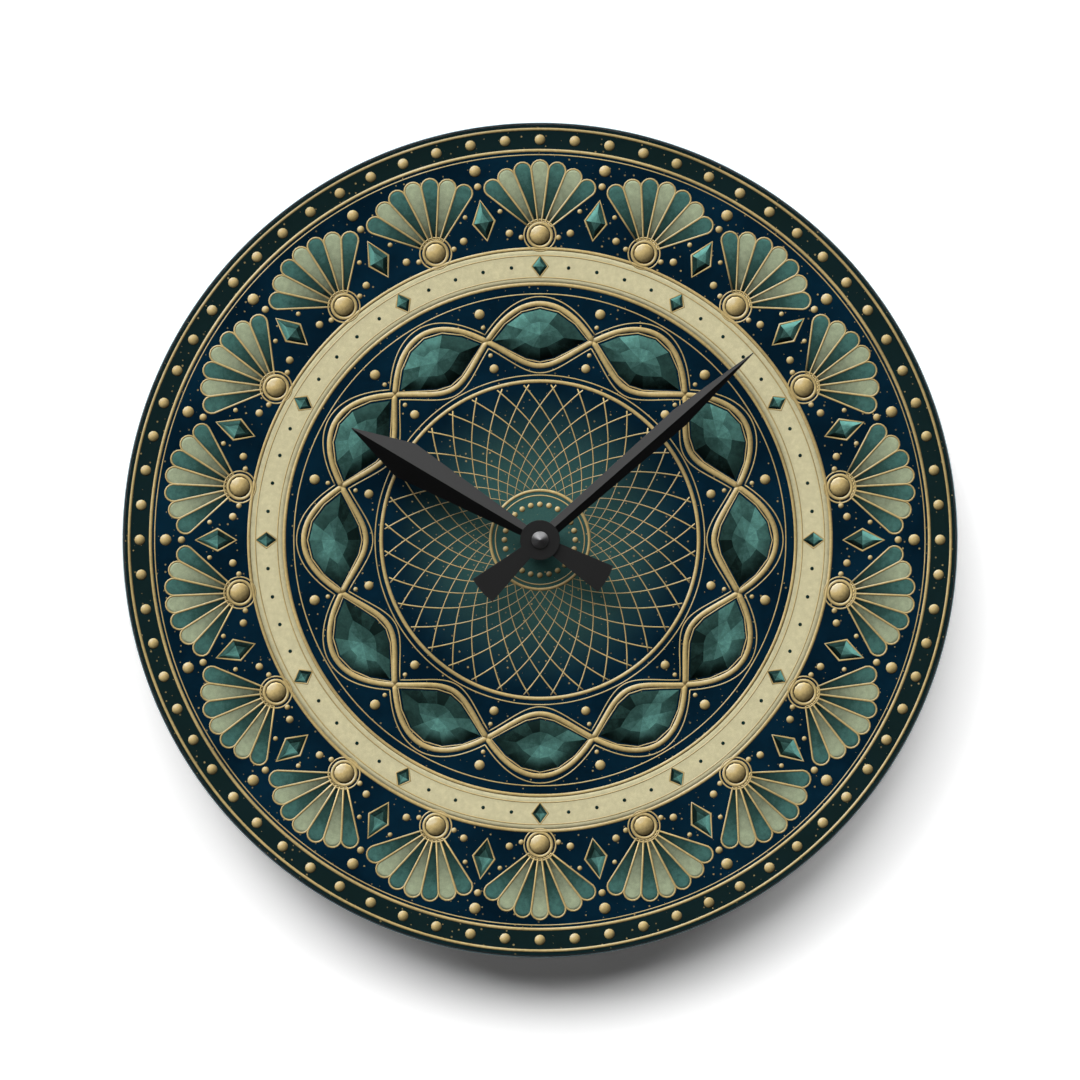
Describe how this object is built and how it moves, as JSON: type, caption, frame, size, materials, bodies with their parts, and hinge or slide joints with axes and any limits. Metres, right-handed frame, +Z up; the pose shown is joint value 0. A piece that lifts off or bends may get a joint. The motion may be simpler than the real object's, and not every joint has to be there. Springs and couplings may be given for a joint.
{
  "type": "acrylic wall clock",
  "caption": "Round clear acrylic wall clock with a print behind the disc, folded-blade hands, a geared battery movement with a setting knob, and a hanger hook.",
  "frame": {"origin": "on the hands' axis, in the plane of the wall, where the movement's rear cover rests", "axes": "+Z up, +X to the right of someone facing the dial, +Y from the dial into the wall"},
  "size_m": [0.273, 0.0301, 0.273],
  "materials": {
    "acrylic": "gloss",
    "print": "matte",
    "gasket": "matte",
    "hanger_steel": "satin",
    "brass": "satin",
    "hand_black": "satin",
    "cap_metal": "polished",
    "case_black": "matte",
    "plate_grey": "matte",
    "spring_steel": "satin",
    "pale_plastic": "satin",
    "magnet": "satin",
    "stator_iron": "satin",
    "copper": "gloss",
    "board": "satin",
    "resin": "gloss",
    "cell": "satin"
  },
  "bodies": {
    "movement": {"acrylic_disc": "acrylic", "print_film": "print", "shaft_gasket": "gasket", "hanger_hook": "hanger_steel", "dial_washer": "brass", "dial_nut": "brass", "case_base": "case_black", "rear_cover": "case_black", "threaded_bush": "brass", "gear_plate": "plate_grey", "stator_plate": "stator_iron", "coil_core": "stator_iron", "coil_bobbin": "pale_plastic", "coil_winding": "copper", "motor_screw_left": "spring_steel", "motor_screw_right": "spring_steel", "circuit_board": "board", "control_chip": "resin", "quartz_crystal": "spring_steel", "contact_positive": "spring_steel", "contact_negative": "spring_steel"},
    "minute_hand": {"minute_hand": "hand_black", "minute_hand_bush": "brass", "cap_nut": "cap_metal", "minute_shaft": "brass", "centre_wheel": "brass", "clutch_spring": "spring_steel"},
    "hour_hand": {"hour_hand": "hand_black", "hour_hand_bush": "brass", "hour_wheel": "pale_plastic"},
    "minute_wheel": {"minute_wheel": "pale_plastic"},
    "setting_knob": {"setting_knob": "pale_plastic", "setting_stem": "pale_plastic"},
    "third_wheel": {"third_wheel": "pale_plastic"},
    "fourth_wheel": {"fourth_wheel": "pale_plastic"},
    "fifth_wheel": {"fifth_wheel": "pale_plastic"},
    "rotor": {"rotor_pinion": "pale_plastic", "rotor_magnet": "magnet"},
    "battery": {"battery": "cell"}
  },
  "joints": [
    {"name": "minute_hand_spin", "type": "hinge", "parent": "movement", "child": "minute_hand", "pos_m": [0, 0, 0], "axis": [0, 1, 0], "continuous": true},
    {"name": "hour_hand_spin", "type": "hinge", "parent": "movement", "child": "hour_hand", "pos_m": [0, 0, 0], "axis": [0, 1, 0], "continuous": true},
    {"name": "minute_wheel_spin", "type": "hinge", "parent": "movement", "child": "minute_wheel", "pos_m": [-0.00827, 0, 0.00301], "axis": [0, 1, 0], "continuous": true},
    {"name": "setting_knob_spin", "type": "hinge", "parent": "movement", "child": "setting_knob", "pos_m": [-0.01695, 0, -0.00015], "axis": [0, 1, 0], "continuous": true},
    {"name": "third_wheel_spin", "type": "hinge", "parent": "movement", "child": "third_wheel", "pos_m": [0.00395, 0, 0.00809], "axis": [0, 1, 0], "continuous": true},
    {"name": "fourth_wheel_spin", "type": "hinge", "parent": "movement", "child": "fourth_wheel", "pos_m": [-0.00418, 0, 0.01057], "axis": [0, 1, 0], "continuous": true},
    {"name": "fifth_wheel_spin", "type": "hinge", "parent": "movement", "child": "fifth_wheel", "pos_m": [-0.01103, 0, 0.00835], "axis": [0, 1, 0], "continuous": true},
    {"name": "rotor_spin", "type": "hinge", "parent": "movement", "child": "rotor", "pos_m": [-0.01505, 0, 0.01408], "axis": [0, 1, 0], "continuous": true},
    {"name": "battery_slide", "type": "slide", "parent": "movement", "child": "battery", "axis": [0, 1, 0], "range_m": [0, 0.02]}
  ],
  "couplings": [
    {"joint": "hour_hand_spin", "follows": "minute_hand_spin", "ratio": 0.083333},
    {"joint": "minute_wheel_spin", "follows": "minute_hand_spin", "ratio": -0.33333},
    {"joint": "setting_knob_spin", "follows": "minute_hand_spin", "ratio": 0.83333},
    {"joint": "third_wheel_spin", "follows": "minute_hand_spin", "ratio": -8},
    {"joint": "fourth_wheel_spin", "follows": "minute_hand_spin", "ratio": 60},
    {"joint": "fifth_wheel_spin", "follows": "minute_hand_spin", "ratio": -300},
    {"joint": "rotor_spin", "follows": "minute_hand_spin", "ratio": 1800}
  ]
}
